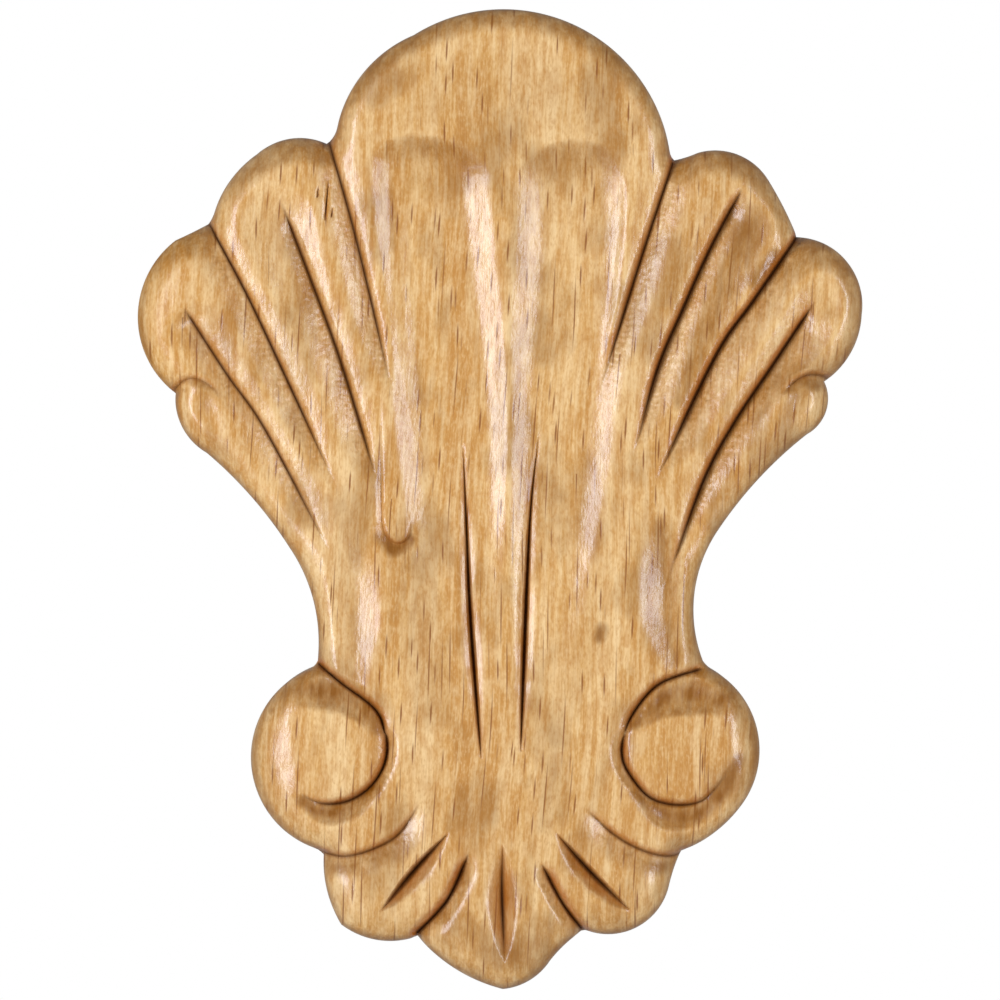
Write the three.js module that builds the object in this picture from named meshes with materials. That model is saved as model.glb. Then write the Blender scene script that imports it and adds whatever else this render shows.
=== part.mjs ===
import * as THREE from 'three';

// Overall size in millimetres: the back lies on y = 0, the carved face looks along -Y, +Z is up
const HEIGHT = 127;
const WIDTH = 94;
const THICKNESS = 16;

// Rounded shoulder all round the rim, and the wider fall of the lobes towards it
const SHOULDER_WIDTH = 3.7;
const SHOULDER_DROP = 2.9;
const ROLL_WIDTH = 8.5;
const ROLL_DROP = 0.95;

// Two round-headed flutes down the middle
const FLUTE_HALF_WIDTH = 8.2;
const FLUTE_DEPTH = 1.65;

// Cuts between the strands of the shell: a steep wall under a rounded lip on one side, a hollow on the other
const STRAND_CUT_DEPTH = 1.9;
const STRAND_CUT_WALL = 0.7;
const STRAND_CUT_HOLLOW = 4.6;
const STRAND_CUT_LIP_DROP = 1.1;
const STRAND_CUT_LIP_WIDTH = 4;

// Cut round each eye of the scrolls
const EYE_CUT_DEPTH = 1.7;
const EYE_CUT_WALL = 0.65;
const EYE_CUT_HOLLOW = 1.7;
const EYE_CUT_LIP_DROP = 0.6;
const EYE_CUT_LIP_WIDTH = 2.2;

// Two pointed slits in the stem, bevelled on both sides
const SLIT_DEPTH = 1.6;
const SLIT_HALF_WIDTH = 0.5;
const SLIT_BEVEL = 1.35;
const SLIT_BEVEL_DEPTH = 0.55;

// Creases under the scrolls, and the pointed cuts and notches of the lower fan with their worn edges
const CREASE_DEPTH = 1.3;
const CREASE_WALL = 0.6;
const CREASE_HOLLOW = 3.6;
const FAN_CUT_DEPTH = 2;
const FAN_CUT_WALL = 1.1;
const FAN_CUT_SLOPE = 2.4;
const FAN_CUT_EDGE = 0.45;
const FAN_CUT_EDGE_DROP = 0.19;
const NOTCH_CUT_WALL = 0.8;
const NOTCH_CUT_HOLLOW = 2.5;

// Small curls on the outer edges, and the line round the raised finger beside the left flute
const CURL_DEPTH = 0.8;
const CURL_WALL = 0.5;
const CURL_HOLLOW = 1.5;
const FINGER_DEPTH = 0.6;
const FINGER_WALL = 0.45;
const FINGER_HOLLOW = 1;

// Shallow dishes in the lobes, down the neck and round the eyes, and flanks that fall away to the rim
const DISH_DEPTH = 1;
const DISH_HALF_WIDTH = 3.2;
const FLANK_DROP = 1.5;
const FLANK_WIDTH = 6.5;

// Spacing of the facets
const RIM_STEP = 1.4;
const CUT_STEP = 1.2;
const FIELD_STEP = 1.9;
const KEEP_APART = 0.42;
const RIM_RINGS = [0.1, 0.35, 0.95];
const HEAD_TURNS = 5;

const WOOD = 0xcda473;

// The drawing: 1000 units high and 740 wide, with its middle on the origin
const DRAWING_HEIGHT = 1000;
const DRAWING_WIDTH = 740;

const place = ([x, z]) => new THREE.Vector2((x * WIDTH) / DRAWING_WIDTH, (z * HEIGHT) / DRAWING_HEIGHT);

// Rim, clockwise as seen: each arc ends at x, z and swells out by the third number (in, if negative)
const RIM_START = [178, 347];
const RIM_ARCS = {
  upperRightLobe: [[201, 354, -0.7], [274, 326, 13.5], [303, 269, 1.3]],
  lowerRightLobe: [[369, 189, 22.9], [331, 121, 9.2]],
  rightCurlAndNeck: [[313, 67, 11.2], [223, -30, -5.2], [207, -164, -16.7], [218, -174, -0.8]],
  rightScroll: [[250, -306, 29.2], [185, -358, 6.5]],
  fan: [
    [172, -395, -1.2],
    [91, -440, 20],
    [83, -440, -0.6],
    [51, -470, -1.7],
    [3, -499, 6.4],
    [-84, -445, 8],
    [-162, -433, 10.1],
    [-180, -362, 5.4],
  ],
  leftScroll: [[-192, -354, -0.9], [-193, -172, 62], [-186, -164, -0.7]],
  leftNeckAndCurl: [[-215, -48, -10.7], [-299, 48, -4.8], [-331, 109, 10]],
  lowerLeftLobe: [[-331, 265, 38.7], [-298, 282, -0.5], [-291, 295, -0.8]],
  upperLeftLobe: [[-248, 353, 5.8], [-177, 364, 10.5]],
  dome: [[-166, 380, -2], [-88, 474, 15], [173, 356, 77], [178, 347, -1.1]],
};

// The dome's disc stays flat right up to its shoulder
const DOME_CENTRE = [3, 327];
const DOME_FLAT_RADIUS = 153;
const DOME_FADE = 70;

// Cuts: path, side of the hollow (1 right of the path as it runs, -1 left), shares of the depth, of the
// hollow's width and of the lip, and the shares of the length where they rise and fade
const LEFT = -1;
const RIGHT = 1;
const STRAND_CUTS = [
  { path: [[-176, 371], [-153, 291], [-135, 219], [-108, 102]], side: RIGHT, depth: 0.9, width: 0.9 },
  {
    path: [[-224, 306], [-195, 231], [-162, 141], [-124, 16]],
    side: RIGHT,
    depth: 0.95,
    width: 1.1,
    rise: 0.12,
    fade: 0.2,
    lip: 0.8,
  },
  { path: [[-301, 290], [-258, 210], [-217, 123], [-163, 6]], side: RIGHT, depth: 0.95 },
  {
    path: [[-322, 196], [-278, 128], [-238, 70], [-169, -61]],
    side: RIGHT,
    depth: 0.9,
    width: 1.1,
    rise: 0.06,
  },
  { path: [[180, 355], [152, 272], [131, 206], [99, 102]], side: LEFT, depth: 0.95, width: 0.9, lip: 0.7 },
  {
    path: [[248, 320], [213, 254], [185, 192], [159, 130], [135, 41]],
    side: LEFT,
    depth: 1.2,
    width: 1.15,
    rise: 0.12,
    lip: 0.55,
  },
  { path: [[307, 274], [258, 203], [219, 146], [156, 14]], side: LEFT, depth: 1.25, width: 1.15, lip: 0.55 },
  {
    path: [[322, 204], [276, 135], [238, 78], [206, 17], [167, -92]],
    side: LEFT,
    depth: 1.2,
    width: 1.1,
    rise: 0.1,
    lip: 0.55,
  },
];
const EYE_CUTS = [
  { path: [[-185, -167], [-161, -187], [-124, -217], [-115, -257]], side: RIGHT, width: 0.6, fade: 0.3 },
  {
    path: [[-122, -220], [-115, -245], [-118, -270], [-133, -293], [-156, -307], [-182, -309], [-206, -298]],
    side: LEFT,
    rise: 0.2,
    fade: 0.3,
  },
  { path: [[210, -171], [161, -188], [132, -223], [124, -250]], side: LEFT, width: 0.7, rise: 0.1, fade: 0.3 },
  {
    path: [[131, -227], [124, -252], [130, -276], [158, -306], [204, -307], [236, -270]],
    side: RIGHT,
    rise: 0.15,
    fade: 0.45,
  },
];
const CREASES = [
  { path: [[-186, -358], [-158, -363], [-128, -355], [-102, -339], [-79, -304]], side: RIGHT },
  { path: [[194, -357], [171, -363], [143, -356], [114, -339], [82, -309]], side: LEFT },
];
const NOTCH_CUTS = [
  { path: [[-31, -357], [-49, -399], [-63, -419], [-84, -441]], side: LEFT, rise: 0.25, fade: 0 },
  {
    path: [[41, -367], [60, -404], [71, -421], [86, -441]],
    side: RIGHT,
    depth: 0.9,
    width: 0.75,
    rise: 0.25,
    fade: 0,
  },
];
const CURL_CUTS = [
  { path: [[-335, 108], [-322, 121], [-308, 123], [-292, 114], [-284, 100]], side: RIGHT },
  { path: [[338, 123], [324, 127], [310, 126], [295, 116], [288, 104]], side: LEFT, depth: 1.3, width: 1.5 },
];
const FINGER_CUTS = [
  { path: [[-121, 112], [-121, 51], [-120, -22]], side: RIGHT, rise: 0.5, fade: 0 },
  {
    path: [[-120, -20], [-116, -36], [-104, -45], [-93, -38], [-88, -16]],
    side: RIGHT,
    depth: 1.4,
    width: 2,
    rise: 0.1,
    fade: 0.3,
  },
];

// Pointed cuts: of the fan cuts also the half widths to the left and to the right of the path
const SLITS = [
  { path: [[-38, 65], [-34, -31], [-30, -122], [-19, -264]] },
  { path: [[41, 76], [32, 0], [27, -91], [21, -257]] },
];
const FAN_CUTS = [
  { path: [[-51, -337], [-88, -377], [-123, -420]], left: FAN_CUT_SLOPE, right: FAN_CUT_WALL },
  { path: [[3, -349], [2, -399], [5, -472]], left: FAN_CUT_SLOPE, right: FAN_CUT_SLOPE },
  { path: [[55, -336], [94, -380], [135, -420]], left: FAN_CUT_WALL, right: FAN_CUT_SLOPE },
];

// Scoops: shares of the half width and of the depth at equal steps along the path; of the flutes also
// the share of the length that the round head takes and the share of the half width that the bank takes
const FLUTES = [
  {
    path: [[-66, 370], [-73, 322], [-66, 245], [-55, 163], [-46, 71], [-42, -20], [-38, -102]],
    widths: [1.04, 1.06, 1.06, 1.06, 1.02, 0.92, 0.8],
    depths: [1, 1, 1, 1, 0.95, 0.65, 0],
    head: 0.098,
    bank: 0.55,
  },
  {
    path: [[70, 367], [75, 306], [75, 245], [68, 163], [61, 71], [54, -20], [47, -122], [41, -204]],
    widths: [1.02, 1.06, 1.08, 1.04, 0.98, 0.84, 0.64, 0.42],
    depths: [1, 1, 1, 0.95, 0.85, 0.65, 0.32, 0],
    head: 0.105,
    bank: 0.65,
  },
];
const LOBE_DISHES = [
  { path: [[-228, 281], [-212, 235], [-185, 160]], widths: [1.62, 1.35, 0.8], depths: [1.15, 0.85, 0] },
  { path: [[-292, 184], [-265, 131], [-230, 71]], widths: [0.8, 0.8, 0.5], depths: [0.35, 0.35, 0] },
  { path: [[-301, 96], [-281, 66]], widths: [0.65, 0.6], depths: [0.6, 0.2] },
  {
    path: [[253, 280], [240, 243], [212, 179], [182, 102]],
    widths: [1.1, 1.02, 0.8, 0.56],
    depths: [0.95, 1.1, 0.75, 0],
  },
  {
    path: [[324, 199], [301, 158], [257, 102], [216, 46]],
    widths: [1.2, 1.05, 0.8, 0.5],
    depths: [1.1, 1.1, 0.6, 0],
  },
  { path: [[281, 243], [262, 224]], widths: [0.7, 0.6], depths: [0.6, 0.1] },
  { path: [[304, 102], [288, 78]], widths: [0.65, 0.55], depths: [0.5, 0.1] },
];
const EYE_DISHES = [
  {
    path: [[-204, -194], [-168, -194], [-141, -209], [-124, -233]],
    widths: [0.62, 0.85, 0.66, 0.34],
    depths: [0.42, 1.3, 1.1, 0.24],
  },
  {
    path: [[227, -204], [196, -196], [163, -204], [139, -227]],
    widths: [0.62, 0.92, 0.7, 0.34],
    depths: [0.36, 1.35, 1.15, 0.24],
  },
  {
    path: [[-201, -306], [-179, -318], [-153, -312], [-127, -292]],
    widths: [0.34, 0.48, 0.48, 0.34],
    depths: [0.5, 0.96, 0.9, 0.24],
  },
  {
    path: [[137, -298], [167, -320], [198, -320], [227, -296], [243, -262]],
    widths: [0.3, 0.55, 0.58, 0.5, 0.3],
    depths: [0.3, 1.1, 1.1, 0.75, 0],
  },
];
const NECK_DISHES = [
  {
    path: [[165, -30], [168, -82], [169, -122], [178, -162]],
    widths: [0.8, 1.1, 1.1, 0.7],
    depths: [0.3, 1.1, 1.15, 0.4],
    power: 1.3,
  },
  {
    path: [[-160, -30], [-150, -82], [-149, -122], [-150, -175]],
    widths: [0.7, 1.1, 1.15, 0.8],
    depths: [0.1, 0.9, 1.05, 0.5],
    power: 1.3,
  },
  { path: [[-18, 82], [-18, -20], [-12, -143]], widths: [0.85, 0.85, 0.7], depths: [0.1, 0.85, 0], power: 1.5 },
];
const FLANKS = [
  {
    path: [[-243, -173], [-263, -235], [-250, -296], [-214, -337]],
    widths: [0.6, 1, 1, 0.6],
    depths: [0.2, 1, 1, 0.3],
  },
  { path: [[256, -194], [270, -235], [262, -286]], widths: [0.5, 0.7, 0.5], depths: [0.1, 0.6, 0.2] },
  { path: [[-340, 265], [-372, 204], [-357, 143]], widths: [0.8, 1.1, 0.9], depths: [0.2, 0.4, 0.2] },
  { path: [[-290, 337], [-230, 371], [-179, 366]], widths: [0.5, 0.6, 0.5], depths: [0.2, 0.4, 0.2] },
];

// Small sums shared by the shapes below
const SPLINE_PIECES = 24;
const TAPER_POWER = 0.7;
const SLIT_TAPER_POWER = 0.6;
const SLIT_SKEW = 1.5;
const HOLLOW_POWER = 1.6;
const LIP_POWER = 1.5;
const OVERLAP = 0.35;
const ROUND_POWER = 2;
const FLANK_POWER = 1.2;

const clamp = (v) => Math.min(Math.max(v, 0), 1);

function smooth(v) {
  const t = clamp(v);
  return t * t * (3 - 2 * t);
}

function between(shares, t) {
  const at = clamp(t) * (shares.length - 1);
  const i = Math.min(Math.floor(at), shares.length - 2);
  return shares[i] + (shares[i + 1] - shares[i]) * (at - i);
}

function splineThrough(path) {
  return new THREE.SplineCurve(path.map(place)).getSpacedPoints(SPLINE_PIECES);
}

// Nearest place on a line of points: distance (right of the run is positive) and share of its length
function nearest(line, x, z) {
  let best = { distance: Infinity, offset: 0, share: 0 };
  for (let i = 0; i < line.length - 1; i += 1) {
    const [a, b] = [line[i], line[i + 1]];
    const [dx, dz] = [b.x - a.x, b.y - a.y];
    const t = clamp(((x - a.x) * dx + (z - a.y) * dz) / (dx * dx + dz * dz));
    const distance = Math.hypot(x - a.x - t * dx, z - a.y - t * dz);
    if (distance < best.distance) {
      const side = Math.sign((x - a.x) * dz - (z - a.y) * dx) || 1;
      best = { distance, offset: side * distance, share: (i + t) / (line.length - 1) };
    }
  }
  return best;
}

// Rim as a closed line of points, each arc cut into even steps
function rimLine() {
  const line = [];
  let from = RIM_START;
  for (const [x, z, swell] of Object.values(RIM_ARCS).flat()) {
    const chord = Math.hypot(x - from[0], z - from[1]);
    const turn = 4 * Math.atan((2 * swell) / chord);
    const steps = Math.max(1, Math.round(place([chord, chord]).x / RIM_STEP));
    for (let i = 0; i < steps; i += 1) {
      const t = i / steps;
      const along = Math.sin((turn * (2 * t - 1)) / 2) / Math.sin(turn / 2);
      const out = (Math.cos((turn * (2 * t - 1)) / 2) - Math.cos(turn / 2)) / Math.sin(turn / 2);
      const [ux, uz] = [(x - from[0]) / 2, (z - from[1]) / 2];
      line.push(place([from[0] + ux * (1 + along) - uz * out, from[1] + uz * (1 + along) + ux * out]));
    }
    from = [x, z];
  }
  return line;
}

// Carving depth of one cut
function cutDepth(cut, x, z) {
  const { size, side, depth = 1, width = 1, rise = 0, fade = 0.35, lip = 1 } = cut;
  const { offset, share } = nearest(cut.line, x, z);
  const rising = rise > 0 ? smooth(share / rise) ** TAPER_POWER : 1;
  const fading = fade > 0 ? smooth((1 - share) / fade) ** TAPER_POWER : 1;
  const strength = rising * fading;
  const across = offset * side;
  const deep = size.depth * depth * strength;
  if (across >= 0) {
    return deep * clamp(1 - across / (size.hollow * width * (0.55 + 0.45 * strength))) ** HOLLOW_POWER;
  }
  const rounded = size.lipDrop * lip * strength * clamp(1 + across / size.lipWidth) ** LIP_POWER;
  return rounded + (deep - rounded) * (1 - smooth(-across / (size.wall * Math.max(strength, 0.35))));
}

// A slit's share of its widest, which lies nearer its lower end
function slitReach(share) {
  return Math.max(Math.sin(Math.PI * share ** SLIT_SKEW), 0) ** SLIT_TAPER_POWER;
}

function slitDepth(slit, x, z) {
  const { offset, share } = nearest(slit.line, x, z);
  const reach = Math.max(slitReach(share), 0.01);
  const core = clamp(1 - Math.abs(offset) / (SLIT_HALF_WIDTH * reach));
  const bevel = clamp(1 - Math.abs(offset) / (SLIT_BEVEL * reach));
  return reach * (SLIT_BEVEL_DEPTH * bevel + (SLIT_DEPTH - SLIT_BEVEL_DEPTH) * core);
}

function fanDepth(cut, x, z) {
  const { offset, share } = nearest(cut.line, x, z);
  const strength = Math.sin(Math.PI * share);
  const half = offset < 0 ? cut.left : cut.right;
  const facet = clamp(1 - Math.abs(offset) / Math.max((half - FAN_CUT_EDGE) * strength, 0.01));
  const inward = Math.max(half * strength - Math.abs(offset), 0);
  return Math.max((FAN_CUT_EDGE_DROP * inward) / FAN_CUT_EDGE, FAN_CUT_DEPTH * strength * facet);
}

function scoopDepth(scoop, x, z) {
  const { offset, share } = nearest(scoop.line, x, z);
  const across = Math.abs(offset) / (scoop.half * between(scoop.widths, share));
  const deep = scoop.deep * between(scoop.depths, share);
  if (!scoop.bank) return deep * clamp(1 - across ** scoop.power);
  const up = clamp(1 - share / scoop.head);
  const inward = clamp((1 - Math.hypot(across, up)) / scoop.bank);
  return deep * (smooth(inward) + up * (inward * (2 - inward) - smooth(inward)));
}

// Every cut and scoop with its line and its sizes
const drawn = (list, sizes) => list.map((item) => ({ ...item, ...sizes, line: splineThrough(item.path) }));
const plain = { lipDrop: 0, lipWidth: 1 };
const cutSizes = [
  [
    STRAND_CUTS,
    {
      depth: STRAND_CUT_DEPTH,
      wall: STRAND_CUT_WALL,
      hollow: STRAND_CUT_HOLLOW,
      lipDrop: STRAND_CUT_LIP_DROP,
      lipWidth: STRAND_CUT_LIP_WIDTH,
    },
  ],
  [
    EYE_CUTS,
    {
      depth: EYE_CUT_DEPTH,
      wall: EYE_CUT_WALL,
      hollow: EYE_CUT_HOLLOW,
      lipDrop: EYE_CUT_LIP_DROP,
      lipWidth: EYE_CUT_LIP_WIDTH,
    },
  ],
  [CREASES, { ...plain, depth: CREASE_DEPTH, wall: CREASE_WALL, hollow: CREASE_HOLLOW }],
  [NOTCH_CUTS, { ...plain, depth: FAN_CUT_DEPTH, wall: NOTCH_CUT_WALL, hollow: NOTCH_CUT_HOLLOW }],
  [CURL_CUTS, { ...plain, depth: CURL_DEPTH, wall: CURL_WALL, hollow: CURL_HOLLOW }],
  [FINGER_CUTS, { ...plain, depth: FINGER_DEPTH, wall: FINGER_WALL, hollow: FINGER_HOLLOW }],
];
const cuts = cutSizes.flatMap(([list, size]) => drawn(list, { size }));
const slits = drawn(SLITS);
const fanCuts = drawn(FAN_CUTS);
const flutes = drawn(FLUTES, { half: FLUTE_HALF_WIDTH, deep: FLUTE_DEPTH });
const dishSize = { half: DISH_HALF_WIDTH, deep: DISH_DEPTH };
const dishes = [...LOBE_DISHES, ...EYE_DISHES, ...NECK_DISHES].map((dish) => ({ power: ROUND_POWER, ...dish }));
const scoops = [...flutes, ...drawn(dishes, dishSize)];
const flanks = drawn(FLANKS, { half: FLANK_WIDTH, deep: FLANK_DROP, power: FLANK_POWER });
const rim = rimLine();
const closedRim = [...rim, rim[0]];

// Depth of the carved face below its highest plane
function depthAt(x, z, fromRim) {
  const deepest = (list, measure) => Math.max(0, ...list.map((item) => measure(item, x, z)));
  const domeCentre = place(DOME_CENTRE);
  const fromDome = Math.hypot(x - domeCentre.x, z - domeCentre.y) / (HEIGHT / DRAWING_HEIGHT);
  const offDome = smooth((fromDome - DOME_FLAT_RADIUS) / DOME_FADE);
  const outward = clamp(1 - fromRim / SHOULDER_WIDTH);
  const shoulder = SHOULDER_DROP * (1 - Math.sqrt(1 - outward * outward));
  const hollow = deepest(scoops, scoopDepth);
  const cut = deepest(cuts, cutDepth);
  return (
    Math.max(hollow, cut) +
    OVERLAP * Math.min(hollow, cut) +
    deepest(slits, slitDepth) +
    deepest(fanCuts, fanDepth) +
    Math.max(shoulder - hollow, 0) +
    ROLL_DROP * offDome * clamp(1 - fromRim / ROLL_WIDTH) ** 2 +
    deepest(flanks, scoopDepth)
  );
}

function insideRim(x, z) {
  let inside = false;
  for (let i = 0, j = rim.length - 1; i < rim.length; j = i, i += 1) {
    const [a, b] = [rim[i], rim[j]];
    if (a.y > z !== b.y > z && x < ((b.x - a.x) * (z - a.y)) / (b.y - a.y) + a.x) inside = !inside;
  }
  return inside;
}

// Points of the face: the rim, rows along every cut, round the heads and along the banks of the flutes,
// rings inside the rim, then an even field
function facePoints() {
  const points = rim.map((p) => ({ x: p.x, z: p.y, fromRim: 0 }));
  const near = (x, z, gap) => points.some((p) => Math.hypot(p.x - x, p.z - z) < gap);
  const add = (x, z, gap) => {
    const fromRim = nearest(closedRim, x, z).distance;
    if (fromRim < gap || !insideRim(x, z) || near(x, z, gap)) return;
    points.push({ x, z, fromRim });
  };
  const alongside = (line, offsetAt, gap) => {
    line.forEach((p, i) => {
      const [before, after] = [line[Math.max(i - 1, 0)], line[Math.min(i + 1, line.length - 1)]];
      const offset = offsetAt(i / (line.length - 1)) / Math.hypot(after.x - before.x, after.y - before.y);
      add(p.x + (after.y - before.y) * offset, p.y - (after.x - before.x) * offset, gap);
    });
  };
  const stepped = (path) => {
    const curve = new THREE.SplineCurve(path.map(place));
    return curve.getSpacedPoints(Math.max(3, Math.round(curve.getLength() / CUT_STEP)));
  };
  for (const cut of cuts) {
    const { wall, hollow } = cut.size;
    for (const across of [0, -wall, Math.min(1.3 * wall, hollow / 2)]) {
      alongside(stepped(cut.path), () => cut.side * across, KEEP_APART);
    }
  }
  for (const slit of slits) {
    for (const offset of [0, -SLIT_HALF_WIDTH, SLIT_HALF_WIDTH, -SLIT_BEVEL, SLIT_BEVEL]) {
      alongside(stepped(slit.path), (share) => offset * slitReach(share), KEEP_APART);
    }
  }
  for (const cut of fanCuts) {
    for (const offset of [0, -cut.left, cut.right, FAN_CUT_EDGE - cut.left, cut.right - FAN_CUT_EDGE]) {
      alongside(stepped(cut.path), (share) => offset * Math.sin(Math.PI * share), KEEP_APART);
    }
  }
  for (const flute of flutes) {
    const curve = new THREE.SplineCurve(flute.path.map(place));
    for (const round of [1, 1 - flute.bank]) {
      for (let turn = -HEAD_TURNS; turn <= HEAD_TURNS; turn += 1) {
        const angle = (turn / HEAD_TURNS) * (Math.PI / 2);
        const share = flute.head * (1 - round * Math.cos(angle));
        const [at, run] = [curve.getPointAt(share), curve.getTangentAt(share)];
        const offset = flute.half * between(flute.widths, share) * round * Math.sin(angle);
        add(at.x + run.y * offset, at.y - run.x * offset, KEEP_APART);
      }
    }
    for (const inward of [0, 0.5, 1]) {
      for (const hand of [LEFT, RIGHT]) {
        const reach = hand * flute.half * (1 - inward * flute.bank);
        alongside(stepped(flute.path), (share) => reach * between(flute.widths, share), CUT_STEP * 0.6);
      }
    }
  }
  for (const share of RIM_RINGS) {
    const inward = SHOULDER_WIDTH * share;
    alongside(closedRim, () => inward, Math.min(inward, RIM_STEP) * 0.7);
  }
  const rowStep = (FIELD_STEP * Math.sqrt(3)) / 2;
  for (let row = 0, z = -HEIGHT / 2; z < HEIGHT / 2; z += rowStep, row += 1) {
    for (let x = -WIDTH / 2 + (row % 2) * (FIELD_STEP / 2); x < WIDTH / 2; x += FIELD_STEP) {
      add(x, z, FIELD_STEP * 0.55);
    }
  }
  return points;
}

// Delaunay triangles over the points; a hair's shift keeps four points off one circle
function triangulate(points) {
  const hair = 1e-4;
  const reach = 10 * (HEIGHT + WIDTH);
  const sites = points.map((p, i) => [p.x + hair * Math.sin(i * 7.3), p.z + hair * Math.sin(i * 4.7)]);
  sites.push([-reach, -reach], [reach, -reach], [0, reach]);
  const withCircle = (a, b, c) => {
    const [[ax, az], [bx, bz], [cx, cz]] = [sites[a], sites[b], sites[c]];
    const d = 2 * (ax * (bz - cz) + bx * (cz - az) + cx * (az - bz));
    const [aa, bb, cc] = [ax * ax + az * az, bx * bx + bz * bz, cx * cx + cz * cz];
    const x = (aa * (bz - cz) + bb * (cz - az) + cc * (az - bz)) / d;
    const z = (aa * (cx - bx) + bb * (ax - cx) + cc * (bx - ax)) / d;
    return { corners: [a, b, c], x, z, reach: (ax - x) ** 2 + (az - z) ** 2 };
  };
  let triangles = [withCircle(points.length, points.length + 1, points.length + 2)];
  for (let i = 0; i < points.length; i += 1) {
    const [x, z] = sites[i];
    const kept = [];
    const edges = new Map();
    for (const triangle of triangles) {
      if ((x - triangle.x) ** 2 + (z - triangle.z) ** 2 >= triangle.reach) {
        kept.push(triangle);
        continue;
      }
      triangle.corners.forEach((a, k) => {
        const b = triangle.corners[(k + 1) % 3];
        if (!edges.delete(`${b},${a}`)) edges.set(`${a},${b}`, [a, b]);
      });
    }
    for (const [a, b] of edges.values()) kept.push(withCircle(a, b, i));
    triangles = kept;
  }
  return triangles.map((triangle) => triangle.corners).filter((t) => t.every((i) => i < points.length));
}

// Rim of the face as one loop of point numbers
function loopOf(face) {
  const next = new Map();
  const shared = new Set(face.flatMap(([a, b, c]) => [`${a},${b}`, `${b},${c}`, `${c},${a}`]));
  for (const [a, b, c] of face) {
    for (const [p, q] of [[a, b], [b, c], [c, a]]) {
      if (!shared.has(`${q},${p}`)) next.set(p, q);
    }
  }
  const loop = [0];
  while (next.get(loop.at(-1)) !== loop[0]) loop.push(next.get(loop.at(-1)));
  return loop;
}

// Closed solid: carved face, flat back and the wall between them
function carvedSolid() {
  const points = facePoints();
  const middle = (corners, axis) => corners.reduce((sum, i) => sum + points[i][axis], 0) / 3;
  const face = triangulate(points).filter((corners) => insideRim(middle(corners, 'x'), middle(corners, 'z')));
  const loop = loopOf(face);
  const backNumber = new Map(loop.map((i, k) => [i, points.length + k]));
  const outline = loop.map((i) => new THREE.Vector2(points[i].x, points[i].z));
  const back = THREE.ShapeUtils.triangulateShape(outline, []).map((t) => t.map((k) => points.length + k));
  const wall = loop.flatMap((a, k) => {
    const b = loop[(k + 1) % loop.length];
    return [[b, a, backNumber.get(a)], [b, backNumber.get(a), backNumber.get(b)]];
  });
  const front = points.flatMap((p) => [p.x, depthAt(p.x, p.z, p.fromRim) - THICKNESS, p.z]);
  const rear = loop.flatMap((i) => [points[i].x, 0, points[i].z]);
  const geometry = new THREE.BufferGeometry();
  geometry.setAttribute('position', new THREE.Float32BufferAttribute([...front, ...rear], 3));
  geometry.setIndex([...face, ...back.map((t) => [t[0], t[2], t[1]]), ...wall].flat());
  geometry.computeVertexNormals();
  return geometry;
}

const hardwood = new THREE.MeshStandardMaterial({ color: WOOD, roughness: 0.4, metalness: 0 });
const ornament = new THREE.Mesh(carvedSolid(), hardwood);
ornament.name = 'shell_ornament';

const group = new THREE.Group();
group.add(ornament);

export default group;
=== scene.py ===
import math
import bpy
import numpy as np
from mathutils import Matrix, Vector
from mathutils.geometry import delaunay_2d_cdt


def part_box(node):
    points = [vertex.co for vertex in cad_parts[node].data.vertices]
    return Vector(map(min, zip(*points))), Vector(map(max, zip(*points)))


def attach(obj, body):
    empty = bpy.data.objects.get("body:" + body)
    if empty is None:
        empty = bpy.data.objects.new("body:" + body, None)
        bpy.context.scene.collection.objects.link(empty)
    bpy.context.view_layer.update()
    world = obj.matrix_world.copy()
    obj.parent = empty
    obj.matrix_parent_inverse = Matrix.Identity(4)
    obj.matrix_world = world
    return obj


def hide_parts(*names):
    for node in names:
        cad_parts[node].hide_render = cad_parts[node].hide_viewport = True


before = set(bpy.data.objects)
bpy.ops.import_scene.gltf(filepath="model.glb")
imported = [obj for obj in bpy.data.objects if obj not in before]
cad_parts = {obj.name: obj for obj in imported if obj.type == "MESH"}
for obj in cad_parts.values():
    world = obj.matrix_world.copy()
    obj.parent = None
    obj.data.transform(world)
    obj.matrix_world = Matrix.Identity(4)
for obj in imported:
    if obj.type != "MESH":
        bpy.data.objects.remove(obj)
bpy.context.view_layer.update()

boxLow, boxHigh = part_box("shell_ornament")
millimetre = 0.001
left, right = -1, 1


# sRGB hex to the linear colour that the shaders work in
def hexColour(text):
    channels = [int(text[i:i + 2], 16) / 255 for i in (0, 2, 4)]
    return [c / 12.92 if c <= 0.04045 else ((c + 0.055) / 1.055) ** 2.4 for c in channels] + [1.0]


# The camera comes first: straight on, with a long lens, as catalogue pictures are taken
camera = {
    "lens": 250,
    "sensor": 36,
    "fieldHeight": 0.12959,  # metres of the ornament's plane that fill the picture
    "plane": -0.012,         # the rim's front edge, which gives the outline
    "clip": (0.01, 20),
}


def makeCamera():
    data = bpy.data.cameras.new("camera")
    data.lens = camera["lens"]
    data.sensor_width = camera["sensor"]
    data.clip_start, data.clip_end = camera["clip"]
    view = bpy.data.objects.new("camera", data)
    bpy.context.collection.objects.link(view)
    away = camera["fieldHeight"] * camera["lens"] / camera["sensor"]
    view.location = (0.0, camera["plane"] - away, 0.0)
    view.rotation_euler = (math.radians(90), 0, 0)
    bpy.context.scene.camera = view


makeCamera()

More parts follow.
